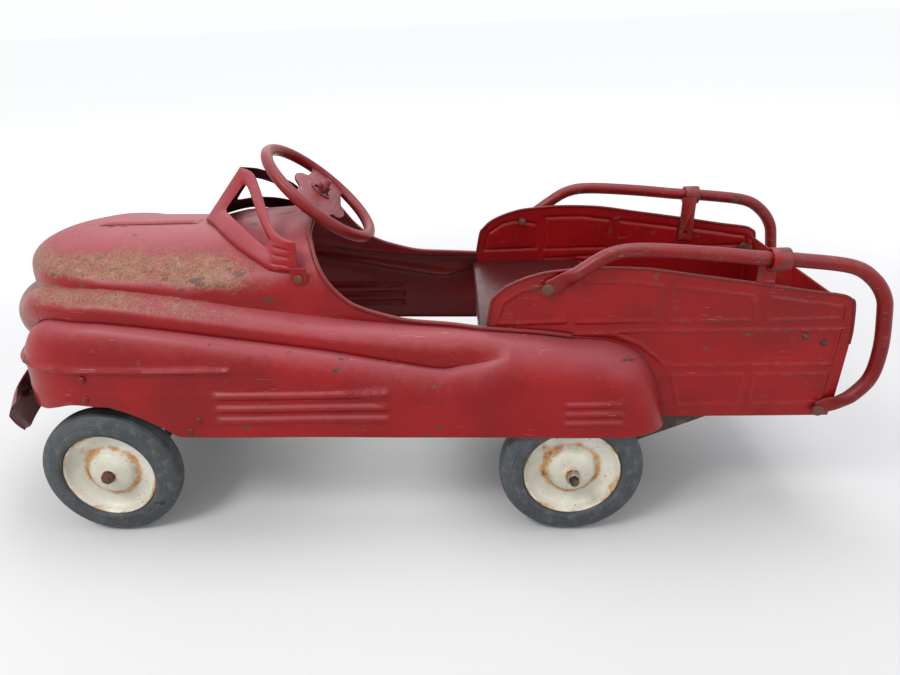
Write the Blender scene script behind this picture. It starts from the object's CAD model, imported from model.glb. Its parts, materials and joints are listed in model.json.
import json
import math

import bmesh
import bpy
import numpy as np
from mathutils import Matrix, Vector


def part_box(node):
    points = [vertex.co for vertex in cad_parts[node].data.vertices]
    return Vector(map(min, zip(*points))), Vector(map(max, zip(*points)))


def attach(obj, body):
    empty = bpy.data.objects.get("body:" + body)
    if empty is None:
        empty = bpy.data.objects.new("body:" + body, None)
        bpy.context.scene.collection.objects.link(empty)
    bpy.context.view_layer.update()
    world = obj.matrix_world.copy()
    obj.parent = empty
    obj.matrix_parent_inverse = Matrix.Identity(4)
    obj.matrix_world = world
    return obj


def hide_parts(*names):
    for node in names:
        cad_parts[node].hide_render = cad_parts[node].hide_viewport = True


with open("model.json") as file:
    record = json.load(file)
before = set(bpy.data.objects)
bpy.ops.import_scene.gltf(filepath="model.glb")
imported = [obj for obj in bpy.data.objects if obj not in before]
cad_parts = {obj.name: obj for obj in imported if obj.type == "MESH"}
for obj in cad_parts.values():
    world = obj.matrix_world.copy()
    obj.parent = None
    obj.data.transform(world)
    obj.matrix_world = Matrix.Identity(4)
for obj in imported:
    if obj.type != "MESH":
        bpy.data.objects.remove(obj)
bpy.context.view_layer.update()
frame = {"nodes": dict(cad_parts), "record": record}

# Lengths are in millimetres, x back from the front axle, y to the right, z up from the ground.
AXLE_TO_ORIGIN = 431.5
SHEET = 1.2
WHEELBASE = 642
WHEEL_RADIUS = 97.5
PANEL_Y = 157.2
COWL_X = 290
NOSE_START_X = 30
NOSE_CAP_X = -58
BODY_HALF_WIDTH = 206
CREASE_HALF_WIDTH = 182
HOOD_NOSE_X = -124
ROLL_NOSE_X = -154
APRON_NOSE_X = -122
NOSE_SQUARENESS = 3.6
NOSE_SWELL = 0.045
STEERING_RAKE = math.radians(42)
STEERING_RADIUS = 89.6
STEERING_TUBE = 8.2
SIDES = {"left": -1, "right": 1}


# ---------- mesh helpers ----------
def metres(points):
    points = np.asarray(points, float).reshape(-1, 3)
    return (points - (AXLE_TO_ORIGIN, 0, 0)) / 1000


def shade_smooth(made):
    made.data.polygons.foreach_set("use_smooth", [True] * len(made.data.polygons))


def build(name, points, faces):
    mesh = bpy.data.meshes.new(name)
    mesh.from_pydata([tuple(p) for p in metres(points)], [], faces)
    mesh.validate()
    mesh.polygons.foreach_set("use_smooth", [True] * len(mesh.polygons))
    made = bpy.data.objects.new(name, mesh)
    bpy.context.scene.collection.objects.link(made)
    return made


def grid_faces(rows, columns, wrap_rows=False, wrap_columns=False, flip=False):
    faces = []
    for i in range(rows if wrap_rows else rows - 1):
        for j in range(columns if wrap_columns else columns - 1):
            across, down = (j + 1) % columns, (i + 1) % rows
            face = [i * columns + j, i * columns + across, down * columns + across, down * columns + j]
            faces.append(face[::-1] if flip else face)
    return faces


def grid(name, rows, **options):
    rows = np.asarray(rows, float)
    return build(name, rows.reshape(-1, 3), grid_faces(rows.shape[0], rows.shape[1], **options))


def modify(made, kind, **settings):
    added = made.modifiers.new(kind.title(), kind)
    for key, value in settings.items():
        setattr(added, key, value)
    return added


def thicken(made, depth=SHEET):
    """Gives the surface the sheet's thickness on its inner side, with eased edges."""
    modify(made, "SOLIDIFY", thickness=depth / 1000, offset=-1)
    modify(made, "BEVEL", width=0.0004, segments=2, limit_method="ANGLE", angle_limit=math.radians(50))


def join(name, pieces):
    mesh = bpy.data.meshes.new(name)
    gathered = bmesh.new()
    for piece in pieces:
        copied = piece.data.copy()
        copied.transform(piece.matrix_world)
        gathered.from_mesh(copied)
        bpy.data.objects.remove(piece)
    gathered.to_mesh(mesh)
    gathered.free()
    made = bpy.data.objects.new(name, mesh)
    bpy.context.scene.collection.objects.link(made)
    return made


def mirror_points(points, side):
    return np.asarray(points, float) * (1, side, 1)


def turned(name, profile, centre, steps=96):
    """A round body about the y axis; the profile is a closed list of radius and y."""
    rows = []
    for k in range(steps):
        turn = 2 * math.pi * k / steps
        rows.append([(r * math.cos(turn), y, r * math.sin(turn)) for r, y in profile])
    made = build(name, np.asarray(rows).reshape(-1, 3) + (AXLE_TO_ORIGIN, 0, 0),
                 grid_faces(steps, len(profile), wrap_rows=True, wrap_columns=True))
    tidy_normals(made)
    made.location = Vector(metres([centre])[0])
    return made


def weld(made, distance):
    """Joins points that lie within the distance, in metres, of each other."""
    work = bmesh.new()
    work.from_mesh(made.data)
    bmesh.ops.remove_doubles(work, verts=work.verts, dist=distance)
    work.to_mesh(made.data)
    work.free()
    shade_smooth(made)


def tidy_normals(made):
    work = bmesh.new()
    work.from_mesh(made.data)
    bmesh.ops.recalc_face_normals(work, faces=work.faces)
    work.to_mesh(made.data)
    work.free()


def sweep(name, path, wide, deep=None, steps=20, lift=(0, 1, 0)):
    """A closed bar along a path, wide across it and deep along lift; both can vary along the path."""
    path = np.asarray(path, float)
    count = len(path)
    wide = np.broadcast_to(wide, count)
    deep = wide if deep is None else np.broadcast_to(deep, count)
    along = np.gradient(path, axis=0)
    along /= np.linalg.norm(along, axis=1)[:, None]
    across = np.cross(along, lift)
    across /= np.linalg.norm(across, axis=1)[:, None]
    upward = np.cross(across, along)
    rows = []
    for k in range(count):
        ring = []
        for step in range(steps):
            turn = 2 * math.pi * step / steps
            ring.append(path[k] + across[k] * wide[k] * math.cos(turn) + upward[k] * deep[k] * math.sin(turn))
        rows.append(ring)
    points = np.asarray(rows).reshape(-1, 3)
    faces = grid_faces(count, steps, wrap_columns=True)
    faces.append(list(range(steps)))
    faces.append(list(range((count - 1) * steps, count * steps)))
    made = build(name, points, faces)
    tidy_normals(made)
    return made


def curve_through(points, count):
    """Points at even spacing along a smooth line through the given points."""
    points = np.asarray(points, float)
    padded = np.vstack([2 * points[0] - points[1], points, 2 * points[-1] - points[-2]])
    dense = []
    for k in range(len(points) - 1):
        a, b, c, d = padded[k:k + 4]
        for t in np.linspace(0, 1, 24, endpoint=False):
            dense.append(0.5 * (2 * b + (c - a) * t + (2 * a - 5 * b + 4 * c - d) * t ** 2
                                + (3 * b - a - 3 * c + d) * t ** 3))
    dense.append(points[-1])
    dense = np.asarray(dense)
    run = np.concatenate([[0], np.cumsum(np.linalg.norm(np.diff(dense, axis=0), axis=1))])
    places = np.linspace(0, run[-1], count)
    return np.stack([np.interp(places, run, dense[:, k]) for k in range(dense.shape[1])], axis=1)


def smooth_line(*points):
    """A monotone curve through the points, as a function."""
    xs = [p[0] for p in points]
    ys = [p[1] for p in points]
    slopes = [(ys[k + 1] - ys[k]) / (xs[k + 1] - xs[k]) for k in range(len(xs) - 1)]
    leans = [slopes[0]]
    for before, after in zip(slopes, slopes[1:]):
        leans.append(0 if before * after <= 0 else 2 * before * after / (before + after))
    leans.append(slopes[-1])

    def value(x):
        if x <= xs[0]:
            return ys[0]
        if x >= xs[-1]:
            return ys[-1]
        k = int(np.searchsorted(xs, x)) - 1
        width = xs[k + 1] - xs[k]
        t = (x - xs[k]) / width
        return (ys[k] * (1 + 2 * t) * (1 - t) ** 2 + leans[k] * width * t * (1 - t) ** 2
                + ys[k + 1] * t * t * (3 - 2 * t) + leans[k + 1] * width * t * t * (t - 1))
    return value


def ease(value, low, high):
    t = np.clip((value - low) / (high - low), 0, 1)
    return t * t * (3 - 2 * t)


# ---------- materials ----------
class Finish:
    """Builds one material from noise, edges and direction, all in the piece's own space."""

    def __init__(self, name):
        self.material = bpy.data.materials.new(name)
        self.material.use_nodes = True
        self.tree = self.material.node_tree
        self.shader = self.tree.nodes["Principled BSDF"]
        self.place = self.add("ShaderNodeTexCoord").outputs["Object"]

    def add(self, kind, **settings):
        node = self.tree.nodes.new(kind)
        for key, value in settings.items():
            setattr(node, key, value)
        return node

    def put(self, socket, value):
        if isinstance(value, bpy.types.NodeSocket):
            self.tree.links.new(value, socket)
        else:
            socket.default_value = value

    def noise(self, scale, detail=6, rough=0.6, stretch=(1, 1, 1), distortion=0):
        mapping = self.add("ShaderNodeMapping")
        mapping.inputs["Scale"].default_value = stretch
        self.put(mapping.inputs["Vector"], self.place)
        node = self.add("ShaderNodeTexNoise")
        node.inputs["Scale"].default_value = scale
        node.inputs["Detail"].default_value = detail
        node.inputs["Roughness"].default_value = rough
        node.inputs["Distortion"].default_value = distortion
        self.put(node.inputs["Vector"], mapping.outputs["Vector"])
        return node.outputs["Fac"]

    def ramp(self, value, low, high, bottom=0.0, top=1.0):
        node = self.add("ShaderNodeMapRange", interpolation_type="SMOOTHSTEP")
        self.put(node.inputs["Value"], value)
        node.inputs["From Min"].default_value = low
        node.inputs["From Max"].default_value = high
        node.inputs["To Min"].default_value = bottom
        node.inputs["To Max"].default_value = top
        return node.outputs["Result"]

    def calc(self, kind, a, b):
        node = self.add("ShaderNodeMath", operation=kind)
        self.put(node.inputs[0], a)
        self.put(node.inputs[1], b)
        return node.outputs["Value"]

    def mix(self, amount, a, b):
        node = self.add("ShaderNodeMix", data_type="RGBA")
        self.put(node.inputs["Factor"], amount)
        self.put(node.inputs["A"], a)
        self.put(node.inputs["B"], b)
        return node.outputs["Result"]

    def blend(self, amount, a, b):
        node = self.add("ShaderNodeMix", data_type="FLOAT")
        self.put(node.inputs["Factor"], amount)
        self.put(node.inputs["A"], a)
        self.put(node.inputs["B"], b)
        return node.outputs["Result"]

    def upward(self):
        node = self.add("ShaderNodeSeparateXYZ")
        self.put(node.inputs["Vector"], self.add("ShaderNodeNewGeometry").outputs["Normal"])
        return node.outputs["Z"]

    def edges(self, low, high):
        return self.ramp(self.add("ShaderNodeNewGeometry").outputs["Pointiness"], low, high)

    def painted(self, name):
        return self.add("ShaderNodeAttribute", attribute_name=name).outputs["Fac"]

    def distance(self, axes=("X", "Z")):
        """Distance from the piece's own y axis, or from the axis the named two stand square to."""
        parts = self.add("ShaderNodeSeparateXYZ")
        self.put(parts.inputs["Vector"], self.place)
        squares = [self.calc("MULTIPLY", parts.outputs[axis], parts.outputs[axis]) for axis in axes]
        return self.calc("POWER", self.calc("ADD", *squares), 0.5)

    def bump(self, height, strength, distance):
        node = self.add("ShaderNodeBump")
        node.inputs["Strength"].default_value = strength
        node.inputs["Distance"].default_value = distance
        self.put(node.inputs["Height"], height)
        self.put(self.shader.inputs["Normal"], node.outputs["Normal"])

    def finish(self, color, roughness, metallic=0.0):
        self.put(self.shader.inputs["Base Color"], color)
        self.put(self.shader.inputs["Roughness"], roughness)
        self.put(self.shader.inputs["Metallic"], metallic)
        return self.material


RED = (0.235, 0.0032, 0.0046, 1)
DEEP_RED = (0.175, 0.0024, 0.0034, 1)
ROSE = (0.235, 0.043, 0.053, 1)
TAN = (0.18, 0.088, 0.052, 1)
BROWN = (0.06, 0.026, 0.018, 1)
DARK = (0.02, 0.014, 0.012, 1)
SHADOW_RED = (0.012, 0.003, 0.003, 1)
PALE_TAN = (0.25, 0.128, 0.084, 1)
PALE_SCRATCH = (0.55, 0.3, 0.27, 1)
BARE_METAL = (0.11, 0.048, 0.034, 1)


def paint(name, faded=1.0, worn=1.0, dark=0.0):
    """Aged red enamel: rose where it faces up, tan by the point weights, with chips and scratches."""
    f = Finish(name)
    cloud = f.noise(9, 5)
    patches = f.noise(70, 9, 0.74)
    red = f.mix(f.ramp(cloud, 0.35, 0.65), DEEP_RED, RED)
    rise = f.calc("ADD", f.upward(), f.calc("MULTIPLY", f.calc("SUBTRACT", patches, 0.5), 0.55))
    fade = f.calc("MULTIPLY", f.ramp(rise, 0.12, 0.85), 0.95 * faded)
    color = f.mix(fade, red, ROSE)
    coarse, fine_grain = f.noise(40, 4), f.noise(230, 9, 0.8)
    grain = f.calc("ADD", f.calc("MULTIPLY", coarse, 0.6), f.calc("MULTIPLY", fine_grain, 0.9))
    tan_edge = f.calc("ADD", f.painted("tan"), f.calc("MULTIPLY", f.calc("SUBTRACT", grain, 0.75), 2.6))
    tan = f.ramp(tan_edge, 0.35, 1.05, 0, 0.9)
    pale = f.mix(f.ramp(f.noise(95, 6, 0.75), 0.42, 0.62), TAN, PALE_TAN)
    color = f.mix(tan, color, pale)
    specks = f.ramp(f.noise(430, 6, 0.75), 0.54, 0.58)
    speck = f.calc("MULTIPLY", specks, f.ramp(f.painted("tan"), 0.15, 0.6, 0.08, 1))
    color = f.mix(f.calc("MULTIPLY", speck, 0.95), color, BROWN)
    scratch = f.ramp(f.noise(34, 4, 0.55, (1, 4, 26), 0.7), 0.665, 0.69)
    fine = f.calc("MULTIPLY", scratch, f.ramp(f.noise(14, 3), 0.5, 0.6, 0, 0.4 * worn))
    color = f.mix(fine, color, PALE_SCRATCH)
    chip = f.calc("MULTIPLY", f.ramp(f.noise(24, 6, 0.62, (1, 1, 2.2)), 0.655, 0.668), min(worn, 1))
    rubbed = f.calc("MULTIPLY", f.edges(0.515, 0.57), f.ramp(f.noise(60, 6, 0.7), 0.4, 0.6, 0, 0.8 * worn))
    bare = f.calc("MAXIMUM", chip, rubbed)
    color = f.mix(bare, color, f.mix(f.ramp(patches, 0.4, 0.6), BROWN, BARE_METAL))
    color = f.mix(dark, color, SHADOW_RED)
    matt = f.calc("MAXIMUM", f.calc("MAXIMUM", fade, tan), bare)
    gloss = f.blend(matt, f.ramp(patches, 0.3, 0.7, 0.27, 0.38), 0.52)
    relief = f.calc("ADD", f.calc("MULTIPLY", f.noise(150, 5), 0.35), f.calc("MULTIPLY", bare, -0.8))
    f.bump(f.calc("ADD", relief, f.calc("MULTIPLY", cloud, 1.6)), 0.35, 0.0012)
    f.shader.inputs["Specular IOR Level"].default_value = 0.22
    f.shader.inputs["Coat Weight"].default_value = 0.04
    f.shader.inputs["Coat Roughness"].default_value = 0.2
    return f.finish(color, gloss)


def steel(name, base, rust, amount, metallic, rough):
    f = Finish(name)
    patches = f.noise(60, 8, 0.7)
    spread = f.calc("ADD", patches, f.calc("MULTIPLY", f.edges(0.5, 0.62), 0.12))
    rusted = f.ramp(spread, 0.62 - amount * 0.3, 0.75 - amount * 0.3)
    color = f.mix(rusted, f.mix(f.noise(25, 4), base, tuple(c * 0.6 for c in base[:3]) + (1,)), rust)
    color = f.mix(f.ramp(f.noise(300, 3), 0.6, 0.7, 0, 0.6), color, BROWN)
    f.bump(f.calc("ADD", f.noise(240, 6), f.calc("MULTIPLY", rusted, 0.6)), 0.4, 0.0006)
    return f.finish(color, f.blend(rusted, rough, 0.85), f.blend(rusted, metallic, 0.05))


def rubber_finish():
    f = Finish("aged_rubber")
    away = f.distance()
    rings = f.add("ShaderNodeTexNoise", noise_dimensions="1D")
    rings.inputs["Scale"].default_value = 520
    f.put(rings.inputs["W"], away)
    cloud = f.noise(22, 6)
    color = f.mix(f.ramp(cloud, 0.35, 0.65), (0.028, 0.034, 0.039, 1), (0.058, 0.068, 0.075, 1))
    color = f.mix(f.ramp(rings.outputs["Fac"], 0.42, 0.7, 0, 0.55), color, (0.016, 0.02, 0.024, 1))
    dust = f.calc("MULTIPLY", f.ramp(f.noise(90, 8, 0.7), 0.5, 0.72), 0.35)
    color = f.mix(dust, color, (0.2, 0.17, 0.13, 1))
    gash = f.ramp(f.noise(34, 5, 0.6, (1, 1, 1.6)), 0.69, 0.71)
    color = f.mix(gash, color, (0.008, 0.008, 0.009, 1))
    height = f.calc("ADD", f.calc("MULTIPLY", rings.outputs["Fac"], 0.5), f.calc("MULTIPLY", gash, -1))
    f.bump(f.calc("ADD", height, f.calc("MULTIPLY", f.noise(180, 6), 0.4)), 0.45, 0.0012)
    return f.finish(color, f.ramp(cloud, 0.3, 0.7, 0.5, 0.72))


def cream_finish():
    f = Finish("aged_cream_paint")
    away = f.distance()
    patches = f.noise(45, 8, 0.7)
    color = f.mix(f.ramp(f.noise(14, 4), 0.35, 0.7), (0.44, 0.42, 0.34, 1), (0.62, 0.6, 0.53, 1))
    from_step = f.calc("ABSOLUTE", f.calc("SUBTRACT", away, 0.037), 0)
    ring = f.calc("MAXIMUM", f.ramp(from_step, 0.009, 0.0), f.ramp(away, 0.058, 0.067))
    ring = f.calc("MAXIMUM", ring, f.ramp(away, 0.015, 0.008))
    stain = f.ramp(f.calc("ADD", patches, f.calc("MULTIPLY", ring, 0.26)), 0.58, 0.8)
    color = f.mix(f.calc("MULTIPLY", stain, 0.9), color, (0.42, 0.2, 0.06, 1))
    deep = f.ramp(f.calc("ADD", patches, f.calc("MULTIPLY", ring, 0.14)), 0.7, 0.78)
    color = f.mix(deep, color, (0.16, 0.06, 0.02, 1))
    speck = f.ramp(f.noise(230, 3), 0.68, 0.71)
    color = f.mix(speck, color, DARK)
    relief = f.calc("MULTIPLY", f.noise(160, 5), 0.3)
    f.bump(f.calc("ADD", f.calc("MULTIPLY", stain, -0.6), relief), 0.4, 0.0008)
    return f.finish(color, f.blend(stain, 0.4, 0.8))


PAINT = paint("aged_red_paint")
PANEL_PAINT = paint("cargo_red_paint", faded=0.2, worn=0.8)
RAIL_PAINT = paint("rubbed_red_paint", faded=0.8, worn=1.3, dark=0.25)
BLACK_PAINT = paint("shaded_red_paint", faded=0.2, worn=0.6, dark=0.8)
INNER_PAINT = paint("inner_red_paint", faded=0.2, worn=0.8, dark=0.4)
SOOT_PAINT = paint("inner_black_paint", faded=0.1, worn=0.5, dark=0.93)
DARK_STEEL = steel("dark_steel", (0.045, 0.038, 0.034, 1), (0.11, 0.045, 0.02, 1), 0.35, 0.6, 0.5)
RUSTY_STEEL = steel("rusty_steel", (0.13, 0.075, 0.05, 1), (0.1, 0.036, 0.02, 1), 0.7, 0.6, 0.5)
PLATED = steel("plated_steel", (0.42, 0.38, 0.3, 1), (0.2, 0.1, 0.045, 1), 0.3, 0.6, 0.4)
RUBBER = rubber_finish()
CREAM = cream_finish()
SLOT_FINISH = {"paint_red": PAINT, "paint_faded": RAIL_PAINT, "dark_steel": DARK_STEEL,
               "rusty_steel": RUSTY_STEEL, "rubber": RUBBER, "paint_cream": CREAM, "plated": PLATED}
BODY_OF = {node: body for body, nodes in frame["record"]["behaviour"]["bodies"].items() for node in nodes}


def settle(made, node, slot, finish, *more, inner=None):
    """The piece takes the finish, rides with the node's body and stands for the node."""
    made.data.materials.clear()
    made.data.materials.append(finish)
    if inner:
        made.data.materials.append(inner)
        made.modifiers["Solidify"].material_offset = 1
    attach(made, BODY_OF[node])
    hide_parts(node, *more)
    return made


def trim(made, finish):
    """A small piece on the body that stands for no node of its own."""
    made.data.materials.append(finish)
    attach(made, "chassis")


def shade_by(made, name, values):
    layer = made.data.attributes.new(name, "FLOAT", "POINT")
    layer.data.foreach_set("value", np.asarray(values, np.float32))


# ---------- body ----------
hood_top = smooth_line((30, 406), (130, 406), (178, 412), (235, 413), (290, 420))
hood_squareness = smooth_line((30, 1.9), (130, 1.9), (180, 2.3), (290, 2.7))
rim_height = smooth_line((290, 424), (294, 413), (300, 400), (307, 385), (318, 365), (335, 345), (352, 331),
                         (380, 319), (432, 306), (480, 302), (528, 297), (600, 290), (641, 284))
crease_one_y = smooth_line((30, 150), (430, 151), (480, 154), (524, 159.2), (641, 159.2))
crease_one_z = smooth_line((30, 359), (87, 351), (152, 340), (217, 329), (282, 319), (335, 311), (400, 304),
                           (432, 301), (480, 298), (528, 294), (600, 287), (641, 281))
crease_two_z = smooth_line((30, 324), (84, 317), (202, 299), (321, 280), (411, 262), (477, 252), (495, 254))
belt_z = smooth_line((30, 268), (200, 262), (300, 246), (400, 208), (480, 186), (520, 208), (560, 230),
                     (641, 228))
bottom_z = smooth_line((30, 214), (57, 203), (99, 179), (117, 167), (131, 166), (265, 165), (530, 161),
                       (641, 159))
hip = smooth_line((472, 0), (512, 0.42), (556, 1))
nose_one_z = smooth_line((0, 359), (30, 358), (55, 340), (90, 330))
nose_two_z = smooth_line((0, 324), (20, 326), (35, 316), (55, 278), (90, 256))
nose_belt_z = smooth_line((0, 268), (90, 250))
nose_bottom_z = smooth_line((0, 214), (8, 217), (20, 210), (28, 205), (90, 195))
HOOD_STEPS = 26
ROLL_OUT_STEPS = 12
ROLL_IN_STEPS = 6
FENDER_STEPS = 18
SIDE_STEPS = 58


def power(value, exponent):
    return abs(value) ** exponent


def lines_between(one, two, belt, bottom, bulge, merge, drop_top, drop_low):
    """The points from the hood crease down to the bottom edge."""
    row = []
    total = ROLL_OUT_STEPS + ROLL_IN_STEPS + FENDER_STEPS
    for k in range(1, total + 1):
        if k <= ROLL_OUT_STEPS:
            turn = k / ROLL_OUT_STEPS * math.pi / 2
            share = drop_low * (1 - math.cos(turn))
            point = np.array([*(one[:2] + (bulge[:2] - one[:2]) * math.sin(turn)),
                              one[2] + (two[2] - one[2]) * share])
        elif k <= ROLL_OUT_STEPS + ROLL_IN_STEPS:
            turn = (k - ROLL_OUT_STEPS) / ROLL_IN_STEPS * math.pi / 2
            share = drop_low + (1 - drop_low) * math.sin(turn)
            point = np.array([*(two[:2] + (bulge[:2] - two[:2]) * math.cos(turn)),
                              one[2] + (two[2] - one[2]) * share])
        else:
            turn = (k - ROLL_OUT_STEPS - ROLL_IN_STEPS) / FENDER_STEPS * math.pi / 2
            point = np.array([*(two[:2] + (belt[:2] - two[:2]) * math.sin(turn)),
                              two[2] + (belt[2] - two[2]) * (1 - math.cos(turn))])
        turn = k / total * math.pi / 2
        single = belt + (one - belt) * math.cos(turn)
        single[1] = one[1] + (belt[1] - one[1]) * math.sin(turn)
        row.append(point * (1 - merge) + single * merge)
    for k in range(1, SIDE_STEPS + 1):
        row.append(belt + (bottom - belt) * k / SIDE_STEPS)
    return row


def straight_section(x):
    one = np.array([x, crease_one_y(x), crease_one_z(x)])
    rise = hood_top(min(x, COWL_X)) - one[2]
    squareness = hood_squareness(min(x, COWL_X))
    opened = 0
    if x > COWL_X:
        opened = math.acos(min(((rim_height(x) - one[2]) / rise), 1) ** (squareness / 2))
    row = []
    for k in range(HOOD_STEPS + 1):
        turn = opened + (math.pi / 2 - opened) * k / HOOD_STEPS
        row.append(np.array([x, one[1] * power(math.sin(turn), 2 / squareness),
                             one[2] + rise * power(math.cos(turn), 2 / squareness)]))
    two = np.array([x, CREASE_HALF_WIDTH, crease_two_z(x)])
    bulge = np.array([x, CREASE_HALF_WIDTH + 3, 0])
    belt = np.array([x, BODY_HALF_WIDTH, belt_z(x)])
    bottom = np.array([x, BODY_HALF_WIDTH, bottom_z(x)])
    return row + lines_between(one, two, belt, bottom, bulge, hip(x), 0.65, 0.65)


def nose_section(degrees):
    turn = math.radians(degrees)

    def around(nose_x, half_width, z, squareness):
        return np.array([NOSE_START_X - (NOSE_START_X - nose_x) * power(math.sin(turn), 2 / squareness),
                         half_width * power(math.cos(turn), 2 / squareness), z])
    one = around(HOOD_NOSE_X, 150, nose_one_z(degrees), 2)
    rise = hood_top(NOSE_START_X) - one[2]
    start = hood_squareness(NOSE_START_X)
    squareness = start + (NOSE_SQUARENESS - start) * math.sin(turn)
    row = []
    for k in range(HOOD_STEPS + 1):
        lift = k / HOOD_STEPS * math.pi / 2
        out = power(math.sin(lift), 2 / squareness)
        swollen = out * (1 + NOSE_SWELL * math.sin(turn) * math.sin(2 * lift))
        row.append(np.array([NOSE_START_X + (one[0] - NOSE_START_X) * swollen, one[1] * out,
                             one[2] + rise * power(math.cos(lift), 2 / squareness)]))
    two = around(APRON_NOSE_X + 2, CREASE_HALF_WIDTH, nose_two_z(degrees), 2.4)
    bulge = around(ROLL_NOSE_X, CREASE_HALF_WIDTH + 3, 0, 2)
    belt = around(APRON_NOSE_X, BODY_HALF_WIDTH, nose_belt_z(degrees), 3.2)
    bottom = around(APRON_NOSE_X, BODY_HALF_WIDTH, nose_bottom_z(degrees), 3.2)
    drop = 0.65 - 0.1 * math.sin(turn)
    return row + lines_between(one, two, belt, bottom, bulge, 0, drop, drop)


TAIL_STEPS = 26
tail_crease = curve_through([(641, 281), (686, 276), (724, 258), (750, 220), (766, 162)], TAIL_STEPS)
tail_belt = curve_through([(641, 228), (680, 219), (700, 200), (711, 178), (715, 160)], TAIL_STEPS)
tail_bottom = curve_through([(641, 159), (672, 158.5), (692, 158), (706, 157.5), (713, 157)], TAIL_STEPS)


def tail_section(k):
    one = np.array([tail_crease[k][0], 159.2, tail_crease[k][1]])
    belt = np.array([tail_belt[k][0], BODY_HALF_WIDTH, tail_belt[k][1]])
    bottom = np.array([tail_bottom[k][0], BODY_HALF_WIDTH, tail_bottom[k][1]])
    row = [one + (0, 0, 3 * (1 - step / HOOD_STEPS)) for step in range(HOOD_STEPS + 1)]
    return row + lines_between(one, one, belt, bottom, one, 1, 0.65, 0.65)


def rib(x, z, x0, x1, line, half, height):
    """Height of a pressed rib along a nearly level line."""
    ends = ease(x, x0 - 3, x0 + 6) * (1 - ease(x, x1 - 6, x1 + 3))
    away = np.abs(z - line) / half
    return height * ends * np.where(away < 1, np.cos(np.minimum(away, 1) * math.pi / 2) ** 0.9, 0)


def pressed(x, z):
    """How far the fender's side is pressed out."""
    line = 269 - 5 * (x + 63) / 263
    out = rib(x, z, -110, 200, line, 5, 4.2)
    out = out - 1.6 * (1 - ease(z, line - 5, line - 2)) * ease(z, 225, 240) * (1 - ease(x, 170, 200))
    for line in (228, 209, 192):
        out = out + rib(x, z, 171, 400, line, 6, 4)
    for line in (208, 194, 180):
        out = out + rib(x, z, 624, 704, line, 5, 3)
    return out


nose_angles = np.linspace(90, 2, 45)
stations = np.concatenate([np.arange(30, 286, 2.5), np.arange(286, 320, 1.5), np.arange(320, 640, 2.5)])
nose_rows = np.asarray([nose_section(angle) for angle in nose_angles])
straight_rows = np.asarray([straight_section(x) for x in stations])
tail_rows = np.asarray([tail_section(k) for k in range(TAIL_STEPS)])
body_rows = np.concatenate([nose_rows, straight_rows, tail_rows])

along = np.gradient(body_rows, axis=0)
around_body = np.gradient(body_rows, axis=1)
outward = np.cross(along, around_body)
outward /= np.maximum(np.linalg.norm(outward, axis=2), 1e-9)[:, :, None]
outward *= np.sign(outward[:, -5, 1].mean())
first_side = HOOD_STEPS + ROLL_OUT_STEPS + ROLL_IN_STEPS + FENDER_STEPS // 2
lift = pressed(body_rows[:, :, 0], body_rows[:, :, 2])
lift[:, :first_side] = 0
lift[:12] *= np.linspace(0, 1, 12)[:, None]
body_rows = body_rows + outward * lift[:, :, None]

# Gentle waves in the old sheet metal.
waves = 0.35 * np.sin(body_rows[:, :, 0] / 31 + 1.3 * np.sin(body_rows[:, :, 2] / 23))
waves[:, HOOD_STEPS:HOOD_STEPS + 3] = 0
body_rows = body_rows + outward * (waves * ease(body_rows[:, :, 1], 20, 60))[:, :, None]
lip = body_rows[:, -1:] + (0, -1, 0)
turned_in = body_rows[:, -1:] - outward[:, -1:] * 5 + (0, 0, 0.4)
body_rows = np.concatenate([body_rows, lip + (0, 0, -0.5), turned_in], axis=1)
body_rows[:, :, 1] = np.maximum(body_rows[:, :, 1], 0.15)
BAND = HOOD_STEPS + ROLL_OUT_STEPS + ROLL_IN_STEPS
front_count = int(np.sum(stations < 60)) + len(nose_angles)


def tan_weight(points):
    """Where the paint has oxidised: hood shoulders and the top of the mid roll, most at the nose."""
    x, z = points[:, 0], points[:, 2]
    crease = np.array([crease_one_z(value) for value in x])
    top = np.array([hood_top(value) for value in x])
    share = (z - crease) / (top - crease)
    shoulder = ease(share, 0.1, 0.34) * (1 - 0.75 * ease(share, 0.55, 0.9)) * (1 - ease(x, 150, 300))
    under = (crease - z) / 30
    roll = ease(under, -0.1, 0.05) * (1 - ease(under, 0.25, 0.7)) * (1 - ease(x, 60, 330)) * 0.8
    nose = (1 - ease(x, -130, -30)) * ease(z, 262, 330) * 0.85
    return np.maximum(np.maximum(shoulder, roll * (share < 0.2)), nose) * ease(z, 240, 300)


def cut_at(made, x, keep_front):
    work = bmesh.new()
    work.from_mesh(made.data)
    point = metres([(x, 0, 0)])[0]
    bmesh.ops.bisect_plane(work, geom=work.verts[:] + work.edges[:] + work.faces[:], plane_co=point,
                           plane_no=(1, 0, 0), clear_outer=keep_front, clear_inner=not keep_front)
    work.to_mesh(made.data)
    work.free()


def own_points(made):
    points = np.zeros(len(made.data.vertices) * 3, np.float32)
    made.data.vertices.foreach_get("co", points)
    return points.reshape(-1, 3) * 1000 + (AXLE_TO_ORIGIN, 0, 0)


def dome(name, centre, radius, height, outwards):
    """A rivet or screw head, round about the y axis."""
    rows = []
    for k in range(7):
        turn = k / 6 * math.pi / 2
        rows.append([(centre[0] + radius * math.cos(turn) * math.cos(a),
                      centre[1] + outwards * height * math.sin(turn),
                      centre[2] + radius * math.cos(turn) * math.sin(a))
                     for a in np.linspace(0, 2 * math.pi, 24, endpoint=False)])
    made = grid(name, rows, wrap_columns=True)
    tidy_normals(made)
    return made


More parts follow.
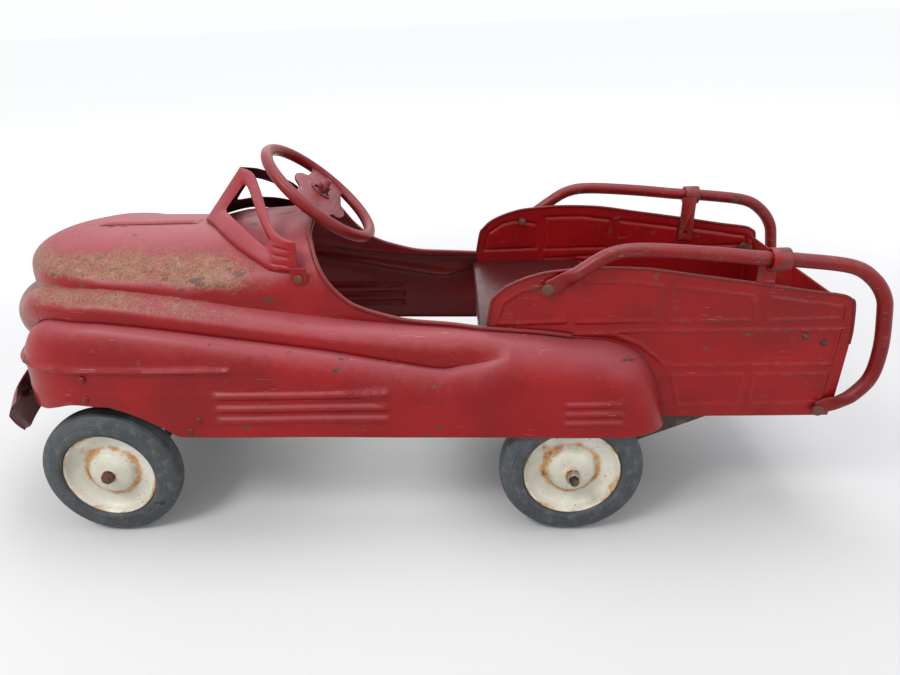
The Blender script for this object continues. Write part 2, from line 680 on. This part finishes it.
def body_half(side_name):
    side = SIDES[side_name]
    flip = side > 0
    upper = grid("upper", mirror_points(body_rows[:front_count, :BAND + 1], side), flip=flip)
    cut_at(upper, NOSE_CAP_X + 0.15, False)
    lower = grid("lower", mirror_points(body_rows[:front_count, BAND:], side), flip=flip)
    rear = grid("rear", mirror_points(body_rows[front_count - 1:], side), flip=flip)
    half = join(f"body_shell_{side_name}", [upper, lower, rear])
    weld(half, 0.00002)
    shade_by(half, "tan", tan_weight(own_points(half)))
    thicken(half)
    settle(half, f"body_half_{side_name}", "paint_red", PAINT, inner=INNER_PAINT)

    start = len(nose_angles) + int(np.sum(stations < COWL_X))
    edge = body_rows[start:len(nose_angles) + len(stations) + 1, 0]
    route = curve_through(edge[::3] + (0.4, 0, 0.2), 150)
    bead = sweep(f"cockpit_rim_{side_name}", mirror_points(route, side), 3.1, steps=14, lift=(0.3, 0, 1))
    trim(bead, RAIL_PAINT)

    rivets = [dome("rivet", (x, side * (BODY_HALF_WIDTH - 0.3), z), 4.6, 2.6, side)
              for x, z in ((3, 255), (2, 226), (147, 192), (133, 176))]
    heads = join(f"fender_rivets_{side_name}", rivets)
    shade_smooth(heads)
    trim(heads, RAIL_PAINT)


for side_name in SIDES:
    body_half(side_name)

cap_left = grid("cap_left", mirror_points(body_rows[:front_count, :BAND + 1], -1))
cap_right = grid("cap_right", mirror_points(body_rows[:front_count, :BAND + 1], 1), flip=True)
nose_cap = join("nose_shell", [cap_left, cap_right])
cut_at(nose_cap, NOSE_CAP_X, True)
weld(nose_cap, 0.0004)
shade_by(nose_cap, "tan", tan_weight(own_points(nose_cap)))
thicken(nose_cap)
settle(nose_cap, "nose_cap", "paint_faded", PAINT, inner=INNER_PAINT)


def hood_height(x, y):
    crease = crease_one_z(x)
    reach = min(abs(y) / crease_one_y(x), 1)
    squareness = hood_squareness(x)
    return crease + (hood_top(x) - crease) * (1 - reach ** squareness) ** (1 / squareness)


band_rows = []
for x in np.arange(-28, 119, 2):
    tapered = min(ease(x, -29, -14), 1 - ease(x, 106, 119))
    band_rows.append([(x, y, hood_height(x, y) + 0.4 + 3.2 * tapered * math.cos(y / 12 * math.pi / 2) ** 0.5)
                      for y in np.linspace(-11.9, 11.9, 17)])
hood_band = grid("hood_crown", band_rows, flip=True)
thicken(hood_band, 0.8)
settle(hood_band, "hood_band", "paint_faded", PAINT)

for number, place in enumerate((-6, 12)):
    slot_line = [(place + step, 18, hood_height(place + step, 18) + 0.35)
                 for step in np.linspace(-4.5, 4.5, 12)]
    slit = sweep(f"hood_slit_{number}", mirror_points(slot_line, -1), 1.4, 0.5, 10, (0, 0, 1))
    trim(slit, DARK_STEEL)


# ---------- windshield ----------
FOOT = (287, 147, 375)
plan = smooth_line((127, 0), (147, 32), (173, 75), (202, 109), (225, 126), (255, 140), (287, 147))
ARM_STEPS = 200
arm_line = np.array([(188, 0, 483), (211, 18, 476), (229, 56, 457), (241, 86, 441), (252, 108, 424),
                     (266, 126, 417), (287, 146, 414)])
arm_curve = curve_through(arm_line, ARM_STEPS)
arm_run = np.linalg.norm(np.diff(arm_line, axis=0), axis=1)
arm_places = np.concatenate([[0], np.cumsum(arm_run)]) / arm_run.sum()
arm_knots = np.arange(len(arm_line)) / (len(arm_line) - 1)


def arm_share(t):
    return float(np.interp(t, arm_knots, arm_places))


def windshield_point(t, s):
    """A point at share t from the front to the foot and at share s up from the hood to the arm."""
    x = 127 + 160 * t
    y = plan(x)
    base = np.array([x, y, max(hood_height(min(x, COWL_X), y) + 2.2, FOOT[2])])
    top = arm_curve[min(int(round(arm_share(t) * (ARM_STEPS - 1))), ARM_STEPS - 1)]
    return base + (top - base) * s


def windshield_frame():
    count = 40
    corners = [(0, 0), (1, 0), (1, 1), (0, 1)]
    window = [(0.14, 0.28), (0.67, 0.45), (0.67, 0.7), (0.14, 0.81)]

    def loop(points):
        made = []
        for a, b in zip(points, points[1:] + points[:1]):
            for k in range(count):
                made.append(np.array(a) + (np.array(b) - np.array(a)) * k / count)
        return np.array(made)
    outer = loop(corners)
    inner = loop(window)
    for _ in range(26):
        inner = (np.roll(inner, 1, axis=0) + 2 * inner + np.roll(inner, -1, axis=0)) / 4
    rings = 16
    flat = np.array([outer + (inner - outer) * k / rings for k in range(rings + 1)])
    points = np.array([[windshield_point(t, s) for t, s in ring] for ring in flat])
    normal = np.cross(np.gradient(points, axis=0), np.roll(points, -1, axis=1) - np.roll(points, 1, axis=1))
    normal /= np.maximum(np.linalg.norm(normal, axis=2), 1e-9)[:, :, None]
    normal *= np.sign(normal[rings // 2, count // 2, 1])
    place = np.linspace(0, 1, rings + 1)[:, None]
    crown = 3.4 * (1 - np.abs(2 * place - 1) ** 3.2) * np.ones(points.shape[:2])
    height = points[:, :, 2]
    fluted = ease(flat[:, :, 0], 0.76, 0.8) * (1 - ease(flat[:, :, 0], 0.9, 0.95))
    for level in (383, 393, 402):
        away = np.abs(height - level) / 2.2
        crown = crown - 1.5 * fluted * np.where(away < 1, np.cos(away * math.pi / 2), 0)
    points = points + normal * crown[:, :, None]
    points[:, :, 1] = np.maximum(points[:, :, 1], 0.05)
    pieces = []
    for side in SIDES.values():
        half = grid("half", mirror_points(points, side), wrap_columns=True, flip=side > 0)
        tab_rows = []
        for z in np.linspace(381, 357, 14):
            half_wide = 11 if z > 367 else math.sqrt(max(11 ** 2 - (367 - z) ** 2, 0.01))
            tab_rows.append([(287 + half_wide * k, side * (147.6 + 1.4 * ease(z, 374, 381)), z)
                             for k in np.linspace(-1, 1, 11)])
        tab = grid("tab", tab_rows, flip=side < 0)
        pieces += [half, tab]
    made = join("windshield_pressing", pieces)
    shade_smooth(made)
    thicken(made, 1.2)
    settle(made, "windshield_frame", "paint_red", PAINT, inner=SOOT_PAINT)


windshield_frame()


# ---------- steering wheel ----------
column_axis = np.array([math.sin(STEERING_RAKE), 0, math.cos(STEERING_RAKE)])
across_column = np.array([math.cos(STEERING_RAKE), 0, -math.sin(STEERING_RAKE)])
STEERING_CENTRE = np.array([298, 0, 443])


def on_column(u, v, w):
    """A point given across the column (u), sideways (v) and up the column (w)."""
    return STEERING_CENTRE + across_column * u + np.array([0, v, 0]) + column_axis * w


def ring_on_column(name, radius, tube, level, steps=96):
    rows = []
    for turn in np.linspace(0, 2 * math.pi, steps, endpoint=False):
        rows.append([on_column((radius + tube * math.cos(b)) * math.cos(turn),
                               (radius + tube * math.cos(b)) * math.sin(turn), level + tube * math.sin(b))
                     for b in np.linspace(0, 2 * math.pi, 20, endpoint=False)])
    made = grid(name, rows, wrap_rows=True, wrap_columns=True)
    tidy_normals(made)
    return made


def steering_wheel():
    front = smooth_line((-86, -36), (-62, -27), (-36, -28), (-20, -38), (0, -42), (20, -38), (36, -28),
                        (62, -27), (86, -36))
    back = smooth_line((-86, 36), (-62, 27), (-38, 32), (-20, 42), (0, 46), (20, 42), (38, 32), (62, 27),
                       (86, 36))
    top, low = [], []
    for v in np.linspace(-86, 86, 100):
        reach = min(1, math.sqrt(max(STEERING_RADIUS ** 2 - v * v, 0)) / 40)
        near, far = front(v) * reach, back(v) * reach
        cells = np.linspace(0, 1, 49)
        lifted = []
        for c in cells:
            u = near + (far - near) * c
            rounded = 1.9 * (1 - abs(2 * c - 1) ** 5)
            steps = 1.5 * (ease(u, 19, 21) + ease(u, 27, 29) + ease(u, 35, 37)) * (1 - ease(abs(v), 30, 44))
            ring = 1.1 * math.exp(-((math.hypot(u, v) - 19) / 1.6) ** 2)
            lifted.append(on_column(u, v, rounded + ring - steps))
        top.append(lifted)
        low.append([on_column(near + (far - near) * c, v, -2.2 - 2 * ease(near + (far - near) * c, 25, 37))
                    for c in cells])
    upper = grid("plate_top", top)
    under = grid("plate_low", low, flip=True)
    rim = ring_on_column("rim", STEERING_RADIUS, STEERING_TUBE, 0)
    washer = ring_on_column("washer", 14, 1.3, 3.2, 48)
    made = join("steering_wheel_pressing", [upper, under, rim, washer])
    shade_smooth(made)
    settle(made, "steering_wheel", "paint_red", RAIL_PAINT)


steering_wheel()


# ---------- wheels ----------
def tyre_profile(y):
    profile = []
    for k in range(37):
        turn = math.pi * (k / 36)
        out = 66.4 + 31 * power(math.sin(turn), 0.62)
        profile.append((out, y - 20.4 * math.copysign(power(math.cos(turn), 0.62), math.cos(turn))))
    grooves = [(r - 0.9 * math.exp(-((abs(b - y) - 6.5) / 1.1) ** 2), b) for r, b in profile]
    return grooves + [(66.4, y)]


def disc_profile(y, hub_end, bore):
    face = y + 20.5
    front = [(66, face - 5), (65.4, face - 3.6), (64, face - 3.4), (62.4, face - 4.6), (61, face - 9),
             (58.5, face - 14.5), (54, face - 17), (47, face - 18), (40, face - 18), (35.5, face - 17),
             (33, face - 13.5), (31, face - 9.5), (27.5, face - 6.5), (22, face - 4.4), (16, face - 3.4),
             (11.5, face - 3), (10.6, face - 2), (10.2, hub_end), (bore, hub_end)]
    back = [(bore, y - 20), (10.6, y - 20), (10.6, face - 12), (30, face - 12), (35, face - 21),
            (56, face - 20), (61, face - 24), (66, face - 33)]
    return front + back


def wheels():
    for side_name, side in SIDES.items():
        for end, x, y, hub_end, bore in (("front", 0, 178, 196.9, 5.4), ("rear", WHEELBASE, 181, 203.9, 6.4)):
            def mirrored(profile):
                return [(r, side * b) for r, b in profile]
            tyre = turned(f"{end}_rubber_{side_name}", mirrored(tyre_profile(y)), (x, 0, WHEEL_RADIUS), 128)
            settle(tyre, f"{end}_tyre_{side_name}", "rubber", RUBBER)
            disc = turned(f"{end}_pressing_{side_name}", mirrored(disc_profile(y, hub_end, bore)),
                          (x, 0, WHEEL_RADIUS), 128)
            modify(disc, "SUBSURF", levels=1, render_levels=1)
            settle(disc, f"{end}_wheel_disc_{side_name}", "paint_cream", CREAM)


wheels()


# ---------- bumper ----------
bumper_rows = []
for y in np.linspace(-165, 165, 111):
    share = abs(y) / 165
    half_high = 33 * (1 - 0.34 * ease(share, 0.8, 1.0))
    x = -169.8 + 33 * share ** 2
    bumper_rows.append([(x + 14 * k * k - 1.5 * math.exp(-(k / 0.16) ** 2) + 1.5, y, 178 + k * half_high)
                        for k in np.linspace(-1, 1, 33)])
bumper = grid("bumper_pressing", bumper_rows, flip=True)
shade_by(bumper, "tan", 0.35 * np.ones(len(bumper.data.vertices)))
thicken(bumper, 1.6)
settle(bumper, "front_bumper", "paint_faded", RAIL_PAINT, inner=INNER_PAINT)


# ---------- cargo box ----------
panel_top = smooth_line((528.5, 300), (530, 323), (539, 341), (553, 354), (575, 364), (606, 372), (666, 376),
                        (716, 374), (790, 363), (865, 351), (934, 339), (972, 333), (984, 326), (990, 313),
                        (992.6, 270))
panel_low = smooth_line((528.5, 226), (560, 198), (561, 196), (740, 196), (758, 161), (986, 160), (990, 190),
                        (992.6, 262))
PRESSINGS = [
    [(542, 303), (542, 312), (548, 332), (570, 347), (592, 352), (627, 346), (628, 304)],
    [(642, 303), (641, 357), (700, 357), (748, 350), (747, 303)],
    [(762, 302), (761, 349), (861, 334), (868, 302)],
    [(881, 301), (882, 332), (973, 317), (975, 302)],
    [(644, 286), (694, 284), (726, 270), (750, 250), (762, 238), (974, 237), (976, 286), (725, 289)],
    [(772, 223), (865, 223), (862, 178), (785, 178)],
    [(878, 223), (973, 223), (971, 180), (878, 178)],
]


def panel_relief(x, z):
    height = np.zeros_like(x)
    for outline in PRESSINGS:
        nearest = np.full_like(x, 99.0)
        for a, b in zip(outline, outline[1:] + outline[:1]):
            a, b = np.array(a, float), np.array(b, float)
            line = b - a
            t = np.clip(((x - a[0]) * line[0] + (z - a[1]) * line[1]) / (line @ line), 0, 1)
            nearest = np.minimum(nearest, np.hypot(x - a[0] - t * line[0], z - a[1] - t * line[1]))
        height = np.maximum(height, 2.0 * np.exp(-(nearest / 2.1) ** 2))
    return height


def cargo_panel(side_name):
    side = SIDES[side_name]
    xs = np.unique(np.concatenate([np.linspace(528.6, 560, 36), np.linspace(560, 966, 204),
                                   np.linspace(966, 992.5, 34)]))
    rows = np.array([[(x, PANEL_Y - 1.9, panel_low(x) + (panel_top(x) - panel_low(x)) * k)
                      for k in np.linspace(0, 1, 96)] for x in xs])
    rows[:, :, 1] += panel_relief(rows[:, :, 0], rows[:, :, 2])
    panel = grid(f"cargo_side_{side_name}", mirror_points(rows, side), flip=side > 0)
    thicken(panel, 1.0)
    settle(panel, f"cargo_panel_{side_name}", "paint_red", PANEL_PAINT)
    hem_line = [(x, PANEL_Y - 1.4, panel_top(x) - 0.8) for x in xs[::6]]
    hem = curve_through(hem_line + [(992.2, PANEL_Y - 1.4, 266)], 150)
    roll = sweep(f"cargo_hem_{side_name}", mirror_points(hem, side), 2.1, steps=12)
    trim(roll, RAIL_PAINT)


for side_name, side in SIDES.items():
    cargo_panel(side_name)
    heads = [dome("rivet", (x, side * (PANEL_Y - 0.6), z), 4.4, 2.2, side)
             for x, z in ((935, 278), (960, 268))]
    rivets = join(f"panel_rivets_{side_name}", heads)
    shade_smooth(rivets)
    trim(rivets, DARK_STEEL if side < 0 else RAIL_PAINT)


# ---------- grab rails ----------
RAIL_Y = 167.2


def grab_rail(side_name):
    side = SIDES[side_name]
    line = [(603, 351), (618, 358), (647, 379), (676, 396), (711, 401), (783, 396), (855, 388),
            (903, 384), (965, 375), (994, 359), (1013, 335), (1020, 309), (1026, 261), (1021, 218),
            (994, 185), (980, 178), (968, 172)]
    route = curve_through(line, 180)
    run = np.concatenate([[0], np.cumsum(np.linalg.norm(np.diff(route, axis=0), axis=1))])
    from_end = np.minimum(run, run[-1] - run)
    flatness = 1 - ease(from_end, 16, 44)
    deep = 8.9 - 6.2 * flatness
    wide = (8.9 + 2.2 * flatness) * np.sqrt(np.clip((from_end + 10) / 12, 0.55, 1))
    path = np.column_stack([route[:, 0], RAIL_Y - 6.6 * flatness, route[:, 1]])
    rail = sweep(f"rail_tube_{side_name}", mirror_points(path, side), wide, deep, 24)
    shade_by(rail, "tan", 0.3 * np.ones(len(rail.data.vertices)))
    settle(rail, f"grab_rail_{side_name}", "paint_red", RAIL_PAINT)


for side_name in SIDES:
    grab_rail(side_name)


# ---------- every other part keeps its form and gets rounded edges ----------
SPECIAL = {"steering_cap_nut": RAIL_PAINT, "seat_pan": BLACK_PAINT, "cargo_floor": BLACK_PAINT,
           "rear_axle_nut_left": PLATED, "rear_axle_nut_right": PLATED}


def refined(node):
    source = frame["nodes"][node]
    made = bpy.data.objects.new(f"{node}_finished", source.data.copy())
    bpy.context.scene.collection.objects.link(made)
    work = bmesh.new()
    work.from_mesh(made.data)
    bmesh.ops.remove_doubles(work, verts=work.verts, dist=0.00001)
    bmesh.ops.recalc_face_normals(work, faces=work.faces)
    work.to_mesh(made.data)
    work.free()
    smallest = min(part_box(node)[1][k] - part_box(node)[0][k] for k in range(3))
    shade_smooth(made)
    modify(made, "BEVEL", width=min(0.0007, smallest * 0.12), segments=2, limit_method="ANGLE",
           angle_limit=math.radians(32), harden_normals=True)
    slot_name = SLOT_OF[node]
    settle(made, node, slot_name, SPECIAL.get(node, SLOT_FINISH[slot_name]))


SLOT_OF = {part["node"]: part["material_slot"] for part in frame["record"]["subparts"]}
for node, source in frame["nodes"].items():
    if not source.hide_render:
        refined(node)


# ---------- floor, light and camera ----------
FLOOR_REACH = 60000


def floor():
    """A plain floor just under the tyres, a little darker near the car than far from it."""
    steps = np.linspace(-FLOOR_REACH, FLOOR_REACH, 25)
    rows = [[(x, y, -0.6) for y in steps] for x in steps]
    made = grid("floor", rows, flip=True)
    f = Finish("pale_floor")
    near = (0.52, 0.52, 0.53, 1)
    f.finish(f.mix(f.ramp(f.distance(("X", "Y")), 0.9, 3), near, (0.97, 0.97, 0.97, 1)), 0.9)
    made.data.materials.append(f.material)


def area_light(name, at, target, size, watts, tint=(1, 1, 1)):
    data = bpy.data.lights.new(name, "AREA")
    data.shape = "RECTANGLE"
    data.size, data.size_y = size
    data.energy = watts
    data.color = tint
    made = bpy.data.objects.new(name, data)
    made.location = at
    made.rotation_euler = (Vector(target) - Vector(at)).to_track_quat("-Z", "Y").to_euler()
    bpy.context.scene.collection.objects.link(made)


CAMERA_AT = (0.04754, -0.98851, 0.66691)
CAMERA_TURNS = (2.87, 24.84, -2.16)
CAMERA_LENS = 27.98
CAMERA_SHIFT = (0.036, 0.0029)


def camera():
    """The main view: yaw, pitch and roll in degrees, looking across the car from its left side."""
    yaw, pitch, roll = (math.radians(a) for a in CAMERA_TURNS)
    right = Vector((math.cos(yaw), math.sin(yaw), 0))
    ahead = Vector((-math.sin(yaw) * math.cos(pitch), math.cos(yaw) * math.cos(pitch), -math.sin(pitch)))
    up = right.cross(ahead)
    level = right * math.cos(roll) + up * math.sin(roll)
    rise = up * math.cos(roll) - right * math.sin(roll)
    data = bpy.data.cameras.new("main_view")
    data.lens = CAMERA_LENS
    data.sensor_width = 36
    data.shift_x, data.shift_y = CAMERA_SHIFT
    made = bpy.data.objects.new("main_view", data)
    bpy.context.scene.collection.objects.link(made)
    turn = Matrix((level, rise, -ahead)).transposed().to_4x4()
    made.matrix_world = Matrix.Translation(CAMERA_AT) @ turn
    bpy.context.scene.camera = made


floor()
area_light("key", (-1.3, -1.5, 2.3), (0, 0, 0.2), (0.9, 0.7), 42, (1, 0.98, 0.95))
area_light("top", (0.3, 0.2, 2.7), (0, 0, 0.2), (1.6, 1.1), 34)
area_light("fill", (1.8, -1.6, 1.2), (0.1, 0, 0.2), (1.4, 1.0), 7, (0.95, 0.97, 1))
area_light("back", (-0.6, 2.2, 1.6), (0, 0, 0.3), (2.0, 1.0), 14)
world = bpy.data.worlds.new("studio")
world.use_nodes = True
world.node_tree.nodes["Background"].inputs["Color"].default_value = (0.98, 0.99, 1, 1)
world.node_tree.nodes["Background"].inputs["Strength"].default_value = 1.0
bpy.context.scene.world = world
bpy.context.scene.view_settings.view_transform = "Standard"
camera()
